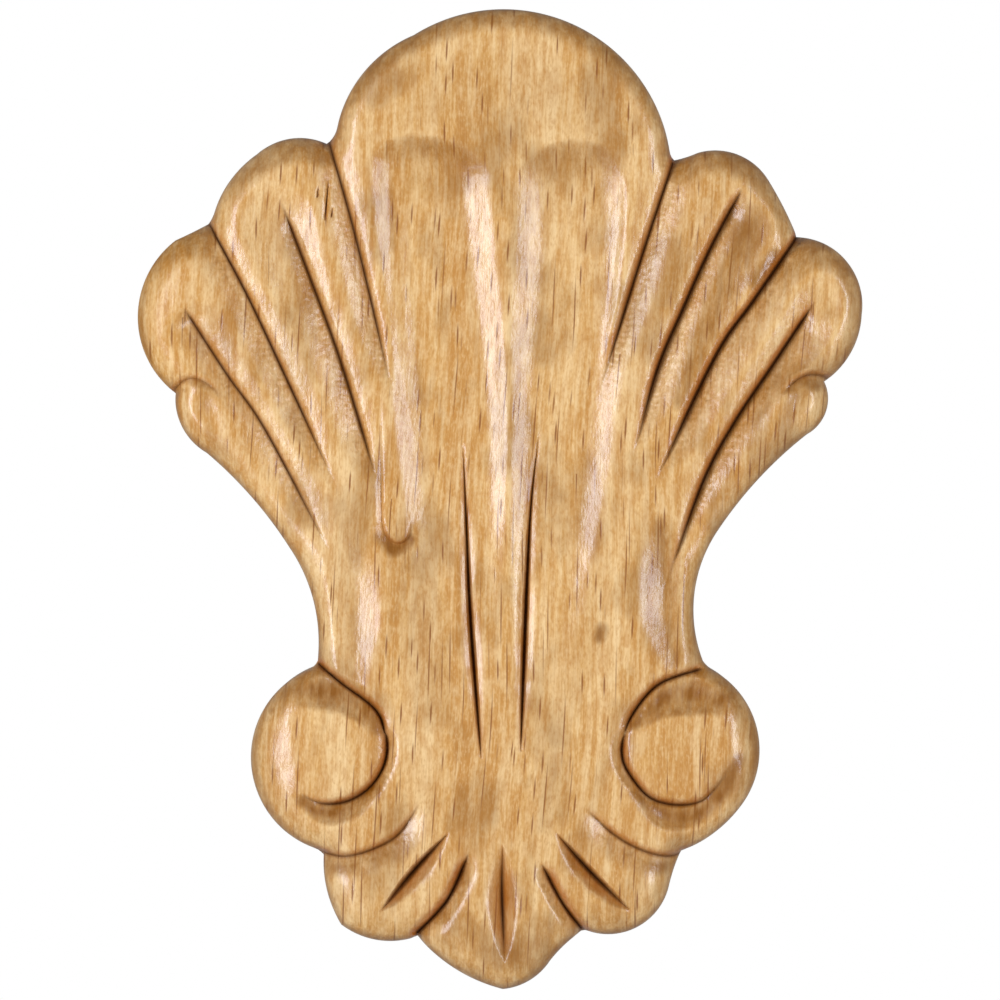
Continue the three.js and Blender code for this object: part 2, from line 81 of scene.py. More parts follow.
# The carver's drawing, as the solid has it: 1000 units high, middle on the origin,
# rim clockwise as seen, each arc ending at x, z and swelling out by the third number
drawing = {
    "rimStart": (178, 347),
    "rimArcs": [
        (201, 354, -0.7), (274, 326, 13.5), (303, 269, 1.3),
        (369, 189, 22.9), (331, 121, 9.2),
        (313, 67, 11.2), (223, -30, -5.2), (207, -164, -16.7), (218, -174, -0.8),
        (250, -306, 29.2), (185, -358, 6.5),
        (172, -395, -1.2), (91, -440, 20), (83, -440, -0.6), (51, -470, -1.7),
        (3, -499, 6.4), (-84, -445, 8), (-162, -433, 10.1), (-180, -362, 5.4),
        (-192, -354, -0.9), (-193, -172, 62), (-186, -164, -0.7),
        (-215, -48, -10.7), (-299, 48, -4.8), (-331, 109, 10),
        (-331, 265, 38.7), (-298, 282, -0.5), (-291, 295, -0.8),
        (-248, 353, 5.8), (-177, 364, 10.5),
        (-166, 380, -2), (-88, 474, 15), (173, 356, 77), (178, 347, -1.1),
    ],
    "rimStep": 3.6,          # drawing units between the rim's points
    "rimStretch": 12,        # steps of the rim that are measured from at a time
    "splineSteps": 20,       # steps between two points of a path, before they are made even
    "splinePieces": 28, "evenPieces": 40,
}
tiny = 0.01                  # keeps a width or a share from vanishing

# Depths and widths of the carving, in millimetres
relief = {
    "shoulderWidth": 3.7, "shoulderDrop": 2.9,
    "rollWidth": 8.5, "rollDrop": 0.95,
    "fluteHalfWidth": 8.2, "fluteDepth": 1.65,
    "strandCut": {"depth": 1.9, "wall": 0.6, "hollow": 4.6, "curve": 1.7, "lip": 1.1, "lipWidth": 4.0},
    "eyeCut": {"depth": 1.7, "wall": 0.6, "hollow": 1.7, "curve": 1.6, "lip": 0.6, "lipWidth": 2.2},
    "crease": {"depth": 1.3, "wall": 0.6, "hollow": 3.6, "curve": 1.5, "lip": 0.35, "lipWidth": 2.2},
    "notchCut": {"depth": 2.0, "wall": 0.8, "hollow": 2.5, "curve": 1.5, "lip": 0.2, "lipWidth": 1.5},
    "curlCut": {"depth": 0.8, "wall": 0.5, "hollow": 1.5, "curve": 1.6, "lip": 0.25, "lipWidth": 1.5},
    "fingerCut": {"depth": 0.6, "wall": 0.3, "hollow": 1.0, "curve": 1.3, "lip": 0.0, "lipWidth": 1.0},
    "slitDepth": 1.6, "slitHalfWidth": 0.5, "slitBevel": 1.35, "slitBevelDepth": 0.55,
    "slitSkew": 1.5, "slitTaper": 0.6,
    "fanCutDepth": 2.0, "fanCutWall": 1.1, "fanCutSlope": 2.4, "fanCutEdge": 0.45, "fanCutEdgeFall": 0.42,
    "dishDepth": 1.0, "dishHalfWidth": 3.2,
    "flankDrop": 1.5, "flankWidth": 6.5, "flankPower": 1.2,
    "ribHeight": 0.4, "ribHalfWidth": 1.2, "ribRoot": 0.4,
    # a cut's end: share of its length, power, least share of the wall and of the hollow that stays
    "fade": 0.35, "taper": 0.7, "leastWall": 0.35, "leastHollow": 0.55,
    "lipPower": 1.5,
    "overlap": 0.35,         # share of the shallower form that still counts where two forms cross
    "easing": 2,             # rounds of levelling that soften the edges, as the lacquer does
    "easedFromRim": 0.8,
    "crispLine": 1.5, "crispPierced": 5,   # how much a cut's bottom, slit or fan cut is kept from that
}
# How far from its line each form is worked out, in millimetres
reaches = {"flute": 10, "dish": 6, "flank": 8, "rib": 3, "cut": 6, "pierced": 3,
           "shadeAndStain": 10, "line": 2, "side": 3}
# The glaze with the painted shade laid in with it: how thick it lies, from 0 to 1, and the depths and widths
# that it fills, in millimetres
glazeAndPaintedShade = {
    "near": 0.35, "nearDepth": 0.25, "nearRounds": 14,      # small hollows
    "wide": 0.55, "wideDepth": 0.9, "wideRounds": 160,      # broad hollows
    # painted shade along the rim
    "rim": 0.55, "rimWidth": 0.5,
    # painted shade on whatever faces up
    "paintedShadeFacingUp": 0.6, "paintedShadeFacingUpTilt": 0.55,                        # whatever faces up
    # dark lines in the bottoms: painted shade with glaze
    "wallLine": 0.25, "hollowLine": 0.2, "slitLine": 0.32, "fanLine": 0.3,   # dark lines in the bottoms
    "slitInBottom": 0.75, "slitSide": 0.45, "fanSide": 0.75,
    "wallMiddle": 0.5, "wallSpread": 0.8,                   # shares of the wall's width
    "headThinned": 0.65, "headEdge": 0.09, "headEnd": 0.2, "headMatt": 0.17,   # shares of the flute's length
    "poolPower": 1.3,
}
dome = {"centre": (3, 327), "flatRadius": 153, "fade": 70}

# Each cut also sets how much glaze, with painted shade and painted bounce light, lies on its wall
strandCuts = [
    dict(path=[(-176, 371), (-153, 291), (-135, 219), (-108, 102)], side=right, depth=0.9, width=0.9,
         shadeAndStain=0.5),
    dict(path=[(-224, 306), (-195, 231), (-162, 141), (-124, 16)], side=right, depth=0.95, width=1.1,
         rise=0.12, fade=0.2, lip=0.8, shadeAndStain=0.4),
    dict(path=[(-301, 290), (-258, 210), (-217, 123), (-163, 6)], side=right, depth=0.95, shadeAndStain=0.5),
    dict(path=[(-322, 196), (-278, 128), (-238, 70), (-169, -61)], side=right, depth=0.9, width=1.1,
         rise=0.06, shadeAndStain=0.5),
    dict(path=[(180, 355), (152, 272), (131, 206), (99, 102)], side=left, depth=0.95, width=0.9, lip=0.7),
    dict(path=[(248, 320), (213, 254), (185, 192), (159, 130), (135, 41)], side=left, depth=1.2, width=1.15,
         rise=0.12, lip=0.55),
    dict(path=[(307, 274), (258, 203), (219, 146), (156, 14)], side=left, depth=1.25, width=1.15, lip=0.55),
    dict(path=[(322, 204), (276, 135), (238, 78), (206, 17), (167, -92)], side=left, depth=1.2, rise=0.1,
         width=1.1, lip=0.55),
]
eyeCuts = [
    dict(path=[(-185, -167), (-161, -187), (-124, -217), (-115, -257)], side=right, width=0.6, fade=0.3),
    dict(path=[(-122, -220), (-115, -245), (-118, -270), (-133, -293), (-156, -307), (-182, -309),
               (-206, -298)], side=left, rise=0.2, fade=0.3),
    dict(path=[(210, -171), (161, -188), (132, -223), (124, -250)], side=left, width=0.7, rise=0.1, fade=0.3),
    dict(path=[(131, -227), (124, -252), (130, -276), (158, -306), (204, -307), (236, -270)], side=right,
         rise=0.15, fade=0.45),
]
creases = [
    dict(path=[(-186, -358), (-158, -363), (-128, -355), (-102, -339), (-79, -304)], side=right),
    dict(path=[(194, -357), (171, -363), (143, -356), (114, -339), (82, -309)], side=left),
]
notchCuts = [
    dict(path=[(-31, -357), (-49, -399), (-63, -419), (-84, -441)], side=left, rise=0.25, fade=0),
    dict(path=[(41, -367), (60, -404), (71, -421), (86, -441)], side=right, rise=0.25, fade=0, width=0.75,
         depth=0.9),
]
curlCuts = [
    dict(path=[(-335, 108), (-322, 121), (-308, 123), (-292, 114), (-284, 100)], side=right),
    dict(path=[(338, 123), (324, 127), (310, 126), (295, 116), (288, 104)], side=left, depth=1.3, width=1.5),
]
# The finger's cuts carry glaze with a painted shadow under its tip
fingerCuts = [
    dict(path=[(-121, 112), (-121, 51), (-120, -22)], side=right, rise=0.5, fade=0, shadeAndStain=0.6, line=0.3),
    dict(path=[(-120, -20), (-116, -36), (-104, -45), (-93, -38), (-88, -16)], side=right, depth=1.1,
         width=2, rise=0.1, fade=0.3, shadeAndStain=1.3, line=0.3),
]
sidedCuts = [(strandCuts, "strandCut"), (fingerCuts, "fingerCut"), (eyeCuts, "eyeCut"), (creases, "crease"),
             (notchCuts, "notchCut"), (curlCuts, "curlCut")]
slits = [
    dict(path=[(-38, 65), (-34, -31), (-30, -122), (-19, -264)]),
    dict(path=[(41, 76), (32, 0), (27, -91), (21, -257)]),
    # cracks in the left lobe
    dict(path=[(-174, 330), (-178, 283)], size=0.3),
    dict(path=[(-184, 320), (-186, 306)], size=0.2),
    dict(path=[(-170, 298), (-172, 286)], size=0.2),
]
fanCuts = [
    dict(path=[(-51, -337), (-88, -377), (-123, -420)], steep=right),
    dict(path=[(3, -349), (2, -399), (5, -472)], steep=0),
    dict(path=[(55, -336), (94, -380), (135, -420)], steep=left),
]
# each flute's head carries glaze with painted shade under its crisp edge
flutes = [
    dict(path=[(-66, 370), (-73, 322), (-66, 245), (-55, 163), (-46, 71), (-42, -20), (-38, -102)],
         widths=[1.04, 1.06, 1.06, 1.06, 1.02, 0.92, 0.8], depths=[1, 1, 1, 1, 0.95, 0.65, 0], head=0.098,
         bank=0.55, shadeAndStain=0.8, matt=0.85),
    dict(path=[(70, 367), (75, 306), (75, 245), (68, 163), (61, 71), (54, -20), (47, -122), (41, -204)],
         widths=[1.02, 1.06, 1.08, 1.04, 0.98, 0.84, 0.64, 0.42], depths=[1, 1, 1, 0.95, 0.85, 0.65, 0.32, 0],
         head=0.105, bank=0.65, shadeAndStain=0.8, matt=0.85),
]
# Hollows on the lobes, necks and volutes, as shares of the dish's half width and depth.
# Each dish carries glaze with painted shade in its hollow; where every depth is 0, only that painted colour
# lies there
dishes = [
    dict(path=[(-228, 281), (-212, 235), (-185, 160)], widths=[1.62, 1.35, 0.8], depths=[1.15, 0.85, 0],
         shadeAndStain=0.3),
    dict(path=[(-292, 184), (-265, 131), (-230, 71)], widths=[0.8, 0.8, 0.5], depths=[0.35, 0.35, 0]),
    dict(path=[(-301, 96), (-281, 66)], widths=[0.65, 0.6], depths=[0.6, 0.2]),
    dict(path=[(253, 280), (240, 243), (212, 179), (182, 102)], widths=[1.1, 1.02, 0.8, 0.56],
         depths=[0.95, 1.1, 0.75, 0], shadeAndStain=0.7),
    dict(path=[(324, 199), (301, 158), (257, 102), (216, 46)], widths=[1.2, 1.05, 0.8, 0.5],
         depths=[1.1, 1.1, 0.6, 0], shadeAndStain=0.25),
    dict(path=[(281, 243), (262, 224)], widths=[0.7, 0.6], depths=[0.6, 0.1], shadeAndStain=1),
    dict(path=[(304, 102), (288, 78)], widths=[0.65, 0.55], depths=[0.5, 0.1], shadeAndStain=0.4),
    dict(path=[(165, -30), (168, -82), (169, -122), (178, -162)], widths=[0.8, 1.1, 1.1, 0.7],
         depths=[0.3, 1.1, 1.15, 0.4], power=1.3, shadeAndStain=0.7),
    dict(path=[(-160, -30), (-150, -82), (-149, -122), (-150, -175)], widths=[0.7, 1.1, 1.15, 0.8],
         depths=[0.1, 0.9, 1.05, 0.5], power=1.3, shadeAndStain=0.4),
    # the volutes' eyes: glaze with painted shade in the scoops above them and in the hollows below
    dict(path=[(-204, -194), (-168, -194), (-141, -209), (-124, -233)], widths=[0.62, 0.85, 0.66, 0.34],
         depths=[0.42, 1.3, 1.1, 0.24], shadeAndStain=0.9),
    dict(path=[(227, -204), (196, -196), (163, -204), (139, -227)], widths=[0.62, 0.92, 0.7, 0.34],
         depths=[0.36, 1.35, 1.15, 0.24], shadeAndStain=0.9),
    dict(path=[(-201, -306), (-179, -318), (-153, -312), (-127, -292)], widths=[0.34, 0.48, 0.48, 0.34],
         depths=[0.5, 0.96, 0.9, 0.24], shadeAndStain=0.9),
    dict(path=[(137, -298), (167, -320), (198, -320), (227, -296), (243, -262)],
         widths=[0.3, 0.55, 0.58, 0.5, 0.3], depths=[0.3, 1.1, 1.1, 0.75, 0], shadeAndStain=0.9),
    # beside the left slit
    dict(path=[(-18, 82), (-18, -20), (-12, -143)], widths=[0.85, 0.85, 0.7], depths=[0.1, 0.85, 0],
         power=1.5),
    # painted shade on the level: a painted shadow under the finger, and shade under the creases and over the
    # tip
    dict(path=[(-120, -38), (-106, -50), (-92, -40)], widths=[0.4, 0.5, 0.4], depths=[0, 0], shadeAndStain=1),
    dict(path=[(-180, -374), (-150, -374)], widths=[0.5, 0.5], depths=[0, 0], shadeAndStain=0.7),
    dict(path=[(185, -374), (150, -372)], widths=[0.5, 0.5], depths=[0, 0], shadeAndStain=0.7),
    dict(path=[(-42, -428), (3, -462), (48, -430)], widths=[0.8, 1.0, 0.8], depths=[0, 0], shadeAndStain=0.55),
    # painted shade on the crests, which face up
    dict(path=[(-214, 362), (-180, 352)], widths=[0.6, 0.5], depths=[0, 0], shadeAndStain=0.6),
    dict(path=[(-313, 277), (-297, 264)], widths=[0.5, 0.5], depths=[0, 0], shadeAndStain=0.5),
    dict(path=[(222, 350), (262, 325), (285, 290)], widths=[0.5, 0.7, 0.4], depths=[0, 0], shadeAndStain=0.55),
    dict(path=[(305, 262), (350, 250)], widths=[0.5, 0.5], depths=[0, 0], shadeAndStain=0.6),
    dict(path=[(-128, 405), (-88, 440)], widths=[0.7, 0.9], depths=[0, 0], shadeAndStain=0.35),
    # browner wood down the neck, and painted shade at the middle of the crest, which faces up
    dict(path=[(-92, -30), (-82, -120), (-66, -215)], widths=[1.3, 1.6, 1.2], depths=[0, 0], shadeAndStain=0.42),
    dict(path=[(92, -60), (80, -140), (66, -215)], widths=[1.2, 1.5, 1.2], depths=[0, 0], shadeAndStain=0.25),
    dict(path=[(-70, 405), (0, 420), (85, 400)], widths=[1.8, 2.4, 1.8], depths=[0, 0], shadeAndStain=0.25),
    # small knots
    dict(path=[(101, -139), (103, -131)], widths=[0.4, 0.4], depths=[0.05, 0.05], shadeAndStain=0.8),
    dict(path=[(-106, -42), (-105, -36)], widths=[0.3, 0.3], depths=[0.05, 0.05], shadeAndStain=0.5),
]
# Flanks that fall away evenly to the rim, as shares of the flank's width and drop
flanks = [
    dict(path=[(-243, -173), (-263, -235), (-250, -296), (-214, -337)], widths=[0.6, 1, 1, 0.6],
         depths=[0.2, 1, 1, 0.3]),
    dict(path=[(256, -194), (270, -235), (262, -286)], widths=[0.5, 0.7, 0.5], depths=[0.1, 0.6, 0.2]),
    dict(path=[(-340, 265), (-372, 204), (-357, 143)], widths=[0.8, 1.1, 0.9], depths=[0.2, 0.4, 0.2],
         matt=0.9),
    dict(path=[(-290, 337), (-230, 371), (-179, 366)], widths=[0.5, 0.6, 0.5], depths=[0.2, 0.4, 0.2]),
]
# Thin ribs left standing in the flutes
ribs = [
    dict(path=[(-103, 339), (-102, 276), (-98, 204), (-90, 122), (-78, 31)], widths=[0.9, 1.2, 1.2, 1.1, 0.7],
         heights=[0.2, 0.7, 0.6, 0.4, 0]),
    dict(path=[(110, 349), (129, 321), (131, 276), (120, 204), (105, 133)], widths=[1, 1.2, 1.2, 1.1, 0.8],
         heights=[0.2, 0.8, 1, 0.8, 0]),
    dict(path=[(82, 330), (92, 306), (90, 255), (80, 173)], widths=[0.8, 1, 1, 0.8],
         heights=[0.1, 0.45, 0.45, 0]),
]


# Rim in drawing units, each arc cut into even steps
def drawRim():
    line = []
    x0, z0 = drawing["rimStart"]
    for x1, z1, swell in drawing["rimArcs"]:
        chord = math.hypot(x1 - x0, z1 - z0)
        half = 2 * math.atan(2 * swell / chord)
        steps = max(1, round(chord / drawing["rimStep"]))
        for i in range(steps):
            angle = half * (2 * i / steps - 1)
            along = math.sin(angle) / math.sin(half)
            out = (math.cos(angle) - math.cos(half)) / math.sin(half)
            ux, uz = (x1 - x0) / 2, (z1 - z0) / 2
            line.append((x0 + ux * (1 + along) - uz * out, z0 + uz * (1 + along) + ux * out))
        x0, z0 = x1, z1
    return np.array(line)


drawnRim = drawRim()
boxSize = (boxHigh - boxLow) / millimetre
unit = np.array([boxSize.x, boxSize.z]) / np.ptp(drawnRim, axis=0)   # millimetres to a drawing unit
corner = np.array([boxLow.x, boxLow.z]) / millimetre


def place(points):
    return (np.asarray(points, float) - drawnRim.min(axis=0)) * unit + corner


rim = place(drawnRim)
closedRim = np.vstack([rim, rim[:1]])


def smooth(v):
    t = np.clip(v, 0, 1)
    return t * t * (3 - 2 * t)


# A smooth line of even steps through the points of a path
def splineThrough(path, pieces):
    p = place(path)
    q = np.vstack([p[:1], p, p[-1:]])
    fine = []
    for a, b, c, d in zip(q, q[1:], q[2:], q[3:]):
        for t in np.linspace(0, 1, drawing["splineSteps"], endpoint=False):
            fine.append(0.5 * (2 * b + (c - a) * t + (2 * a - 5 * b + 4 * c - d) * t * t
                               + (3 * b - a - 3 * c + d) * t ** 3))
    fine = np.array(fine + [p[-1]])
    run = np.concatenate([[0], np.cumsum(np.hypot(*np.diff(fine, axis=0).T))])
    even = np.linspace(0, run[-1], pieces + 1)
    return np.column_stack([np.interp(even, run, fine[:, 0]), np.interp(even, run, fine[:, 1])])


# For the points within reach of a line: which they are, their offset from it, to the right of its run,
# and the share of its length that they lie beside
def besideLine(line, x, z, reach):
    low, high = line.min(axis=0) - reach, line.max(axis=0) + reach
    near = np.flatnonzero((x > low[0]) & (x < high[0]) & (z > low[1]) & (z < high[1]))
    px, pz = x[near], z[near]
    best = np.full(near.size, np.inf)
    offset, share = np.zeros(near.size), np.zeros(near.size)
    for i, (a, b) in enumerate(zip(line, line[1:])):
        dx, dz = b - a
        t = np.clip(((px - a[0]) * dx + (pz - a[1]) * dz) / (dx * dx + dz * dz), 0, 1)
        distance = np.hypot(px - a[0] - t * dx, pz - a[1] - t * dz)
        closer = distance < best
        side = np.where((px - a[0]) * dz - (pz - a[1]) * dx < 0, -1.0, 1.0)
        best = np.where(closer, distance, best)
        offset = np.where(closer, side * distance, offset)
        share = np.where(closer, (i + t) / (len(line) - 1), share)
    return near, offset, share


# Distance to the rim, up to just past the roll of the lobes
def fromRim(x, z):
    reach = relief["rollWidth"] + 0.5
    best = np.full(x.size, reach)
    for start in range(0, len(rim), drawing["rimStretch"]):
        stretch = closedRim[start:start + drawing["rimStretch"] + 1]
        near, offset, _ = besideLine(stretch, x, z, reach)
        best[near] = np.minimum(best[near], np.abs(offset))
    return best


def between(shares, t):
    return np.interp(t, np.linspace(0, 1, len(shares)), shares)


# A cut's share of its full depth, which may rise at its start and fades at its end
def cutStrength(cut, share):
    rise, fade = cut.get("rise", 0), cut.get("fade", relief["fade"])
    strength = np.ones_like(share)
    if rise:
        strength = strength * smooth(share / rise) ** relief["taper"]
    if fade:
        strength = strength * smooth((1 - share) / fade) ** relief["taper"]
    return strength


# A cut with a steep wall on one side, rounded at its top, and a long hollow on the other
def cutDepth(cut, size, offset, share):
    strength = cutStrength(cut, share)
    across = offset * cut["side"]
    wall = 1 - smooth(-across / (size["wall"] * np.maximum(strength, relief["leastWall"])))
    lipFall = np.clip(1 + across / size["lipWidth"], 0, 1) ** relief["lipPower"]
    lip = size["lip"] * cut.get("lip", 1) * strength * lipFall
    narrowed = relief["leastHollow"] + (1 - relief["leastHollow"]) * strength
    reach = size["hollow"] * cut.get("width", 1) * narrowed
    hollow = np.clip(1 - across / reach, 0, 1) ** size["curve"]
    deep = size["depth"] * cut.get("depth", 1) * strength
    return np.where(across < 0, lip + (deep - lip) * wall, deep * hollow)


# Half widths of a fan cut on its left and on its right
def fanHalves(cut):
    return [relief["fanCutWall"] if cut["steep"] == hand else relief["fanCutSlope"] for hand in (left, right)]


# The two facets of a fan cut, from 0 where they begin to 1 at the bottom
def fanFacets(cut, offset, share):
    halfLeft, halfRight = fanHalves(cut)
    strength = np.sin(np.pi * share)
    halfWidth = np.where(offset < 0, halfLeft, halfRight) - relief["fanCutEdge"]
    return strength * np.clip(1 - np.abs(offset) / np.maximum(halfWidth * strength, tiny), 0, 1)


# The facets inside an edge that falls gently, as a worn edge does
def fanDepth(cut, offset, share):
    halfLeft, halfRight = fanHalves(cut)
    inward = np.where(offset < 0, halfLeft, halfRight) * np.sin(np.pi * share) - np.abs(offset)
    return np.maximum(relief["fanCutEdgeFall"] * np.maximum(inward, 0),
                      relief["fanCutDepth"] * fanFacets(cut, offset, share))


# A slit's share of its widest, which lies nearer its lower end
def slitReach(share):
    return np.sin(np.pi * share ** relief["slitSkew"]).clip(0) ** relief["slitTaper"]


def slitDepth(slit, offset, share):
    reach = np.maximum(slit.get("size", 1) * slitReach(share), tiny)
    core = np.clip(1 - np.abs(offset) / (relief["slitHalfWidth"] * reach), 0, 1)
    bevel = np.clip(1 - np.abs(offset) / (relief["slitBevel"] * reach), 0, 1)
    bevelDepth = relief["slitBevelDepth"]
    return reach * (bevelDepth * bevel + (relief["slitDepth"] - bevelDepth) * core)


# A scoop: round, or with banks that ease in at the sides and a rounded, crisper head
def scoopProfile(scoop, halfWidth, offset, share):
    halfWidth = halfWidth * between(scoop["widths"], share)
    if "bank" not in scoop:
        return np.clip(1 - (np.abs(offset) / halfWidth) ** scoop.get("power", 2), 0, 1)
    up = np.clip(1 - share / scoop["head"], 0, 1)
    inward = np.clip((1 - np.hypot(offset / halfWidth, up)) / scoop["bank"], 0, 1)
    return smooth(inward) + up * (inward * (2 - inward) - smooth(inward))


def scoopDepth(scoop, halfWidth, depth, offset, share):
    return depth * between(scoop["depths"], share) * scoopProfile(scoop, halfWidth, offset, share)


# Glaze and painted shade fill a whole dish, and of a flute the head
def scoopGlazeAndShade(scoop, halfWidth, offset, share):
    profile = scoop["shadeAndStain"] * scoopProfile(scoop, halfWidth, offset, share)
    if "bank" in scoop:
        atEdge = 1 - glazeAndPaintedShade["headThinned"] * smooth(share / glazeAndPaintedShade["headEdge"])
        return np.sqrt(profile) * atEdge * (1 - smooth(share / glazeAndPaintedShade["headEnd"]))
    return profile ** glazeAndPaintedShade["poolPower"]


# The lacquer is matt where the glaze lies thick: in a flute only at the head
def scoopMatt(scoop, halfWidth, offset, share):
    matt = scoop.get("matt", 0) * scoopProfile(scoop, halfWidth, offset, share) ** 0.5
    if "bank" in scoop:
        matt *= 1 - smooth(share / glazeAndPaintedShade["headMatt"])
    return matt


# A line that fades to both sides over its width
def softLine(offset, width):
    return np.exp(-(offset / width) ** 2)


def ribHeight(rib, offset, share):
    across = np.clip(np.abs(offset) / (relief["ribHalfWidth"] * between(rib["widths"], share)), 0, 1)
    return relief["ribHeight"] * between(rib["heights"], share) * (1 - across ** 2) ** 2


# Depth below the face in millimetres, then what the material needs: the glaze and the painted shade on the
# bottoms and the sides of the cuts and elsewhere, and where the lacquer is matt
def faceDepth(x, z, rimDistance):
    fluted, dished, cut, pierced, flank, raised, bottom, side, shadeAndStain, matt = np.zeros((10, x.size))

    def carve(into, item, form, depthOf):
        line = splineThrough(item["path"], drawing["splinePieces"])
        near, offset, share = besideLine(line, x, z, reaches[form])
        into[near] = np.maximum(into[near], depthOf(offset, share))

    def scoop(into, item, form, depthOf, *sizes):
        carve(into, item, form, lambda o, s: depthOf(item, *sizes, o, s))

    fluteHalf, dishHalf, flankWidth = relief["fluteHalfWidth"], relief["dishHalfWidth"], relief["flankWidth"]
    for item in flutes:
        scoop(fluted, item, "flute", scoopDepth, fluteHalf, relief["fluteDepth"])
        scoop(shadeAndStain, item, "shadeAndStain", scoopGlazeAndShade, fluteHalf)
        scoop(matt, item, "flute", scoopMatt, fluteHalf)
    for item in dishes:
        scoop(dished, item, "dish", scoopDepth, dishHalf, relief["dishDepth"])
        if "shadeAndStain" in item:
            scoop(shadeAndStain, item, "shadeAndStain", scoopGlazeAndShade, dishHalf)
    for item in flanks:
        falling = item | {"power": relief["flankPower"]}
        scoop(flank, falling, "flank", scoopDepth, flankWidth, relief["flankDrop"])
        scoop(matt, item, "flank", scoopMatt, flankWidth)
    for item in ribs:
        scoop(raised, item, "rib", ribHeight)
    for group, size in sidedCuts:
        wall = relief[size]["wall"]
        for item in group:
            facing = item["side"]
            shade = item.get("depth", 1) * relief[size]["depth"] / relief["strandCut"]["depth"]
            dark, brown = shade * item.get("line", 1), shade * item.get("shadeAndStain", 1)
            carve(cut, item, "cut", lambda o, s: cutDepth(item, relief[size], o, s))
            # painted shade and glaze darken the cut's bottom
            carve(bottom, item, "line", lambda o, s: dark * cutStrength(item, s)
                  * softLine(o * facing, np.where(o * facing < 0, glazeAndPaintedShade["wallLine"], glazeAndPaintedShade["hollowLine"])))
            # glaze with painted shade and painted bounce light browns the cut's wall
            carve(side, item, "side", lambda o, s: brown * cutStrength(item, s)
                  * softLine(o * facing + glazeAndPaintedShade["wallMiddle"] * wall, glazeAndPaintedShade["wallSpread"] * wall))
    for item in slits:
        size = item.get("size", 1)
        carve(pierced, item, "pierced", lambda o, s: slitDepth(item, o, s))
        # painted shade with glaze in the slit's bottom and on its sides
        carve(bottom, item, "line", lambda o, s: glazeAndPaintedShade["slitInBottom"] * slitReach(s)
              * softLine(o, glazeAndPaintedShade["slitLine"] * size))
        carve(side, item, "line", lambda o, s: slitReach(s) * softLine(o, glazeAndPaintedShade["slitSide"] * size))
    for item in fanCuts:
        carve(pierced, item, "pierced", lambda o, s: fanDepth(item, o, s))
        # painted shade with glaze in the fan cut's bottom and on its facets
        carve(bottom, item, "line", lambda o, s: np.sin(np.pi * s) * softLine(o, glazeAndPaintedShade["fanLine"]))
        carve(side, item, "side", lambda o, s: glazeAndPaintedShade["fanSide"] * fanFacets(item, o, s) ** 0.5)
    shoulder = np.clip(1 - rimDistance / relief["shoulderWidth"], 0, 1)
    shoulder = relief["shoulderDrop"] * (1 - np.sqrt(1 - shoulder ** 2))
    domeCentre = place([dome["centre"]])[0]
    fromDome = np.hypot(x - domeCentre[0], z - domeCentre[1]) / unit[1]
    offDome = smooth((fromDome - dome["flatRadius"]) / dome["fade"])
    roll = relief["rollDrop"] * offDome * np.clip(1 - rimDistance / relief["rollWidth"], 0, 1) ** 2
    hollow = np.maximum(np.maximum(fluted - raised * smooth(fluted / relief["ribRoot"]), 0), dished)
    total = np.maximum(hollow, cut) + relief["overlap"] * np.minimum(hollow, cut) + pierced
    total += shoulder - np.minimum(shoulder, hollow) + roll + flank
    return total, {"cutBottom": bottom, "cutSide": side, "shadeAndStain": shadeAndStain, "matt": matt, "pierced": pierced}


def insideRim(x, z):
    inside = np.zeros(x.size, bool)
    for (ax, az), (bx, bz) in zip(closedRim, closedRim[1:]):
        if az == bz:
            continue
        spans = (az > z) != (bz > z)
        inside ^= spans & (x < (bx - ax) * (z - az) / (bz - az) + ax)
    return inside


# Spacing of the face's vertices, in millimetres
mesh = {
    "field": 0.4,
    "fine": 0.22,
    "row": 0.26,
    "rings": [0.12, 0.32, 0.6, 0.95],
    "ringFromRim": 0.8,                        # share of a ring's own distance
    "weld": 1e-9,
    "clear": {"row": 0.06, "lattice": 0.13},   # a new point keeps at least this far from the others
    "clearMargin": 20,                         # spare cells of that around the outline
    "cutRows": [0.18, -0.18, 0.45, 0.9],       # besides those at the bottom and over the wall
    "facetRow": 0.45,                          # share of a fan cut's facet
    "rowFromRim": 0.3, "latticeFromRim": 0.2,
    # how far from each kind of cut the lattice is fine
    "fineReach": {"strandCut": 1.6, "eyeCut": 1.4, "crease": 1.4, "notchCut": 1.8, "curlCut": 1.2,
                  "fingerCut": 1.2, "slit": 1.4, "fanCut": 2.1},
    "sideLevels": [0.15, 0.4, 0.7, 0.93],      # shares of the way from the rim's front to the back
    "backEase": 0.3,
    "sharpAngle": 35,
}


def lattice(step):
    rows = np.arange(corner[1], corner[1] + boxSize.z, step * math.sqrt(3) / 2)
    cols = np.arange(corner[0], corner[0] + boxSize.x, step)
    x = np.concatenate([cols + (i % 2) * step / 2 for i in range(len(rows))])
    return np.column_stack([x, np.repeat(rows, len(cols))])


def alongside(line, offsets):
    before, after = np.vstack([line[:1], line[:-1]]), np.vstack([line[1:], line[-1:]])
    run = after - before
    run /= np.hypot(run[:, 0], run[:, 1])[:, None]
    return np.column_stack([line[:, 0] + run[:, 1] * offsets, line[:, 1] - run[:, 0] * offsets])


def evenLine(item):
    rough = splineThrough(item["path"], drawing["evenPieces"])
    length = np.hypot(*np.diff(rough, axis=0).T).sum()
    return splineThrough(item["path"], int(length / mesh["row"]))


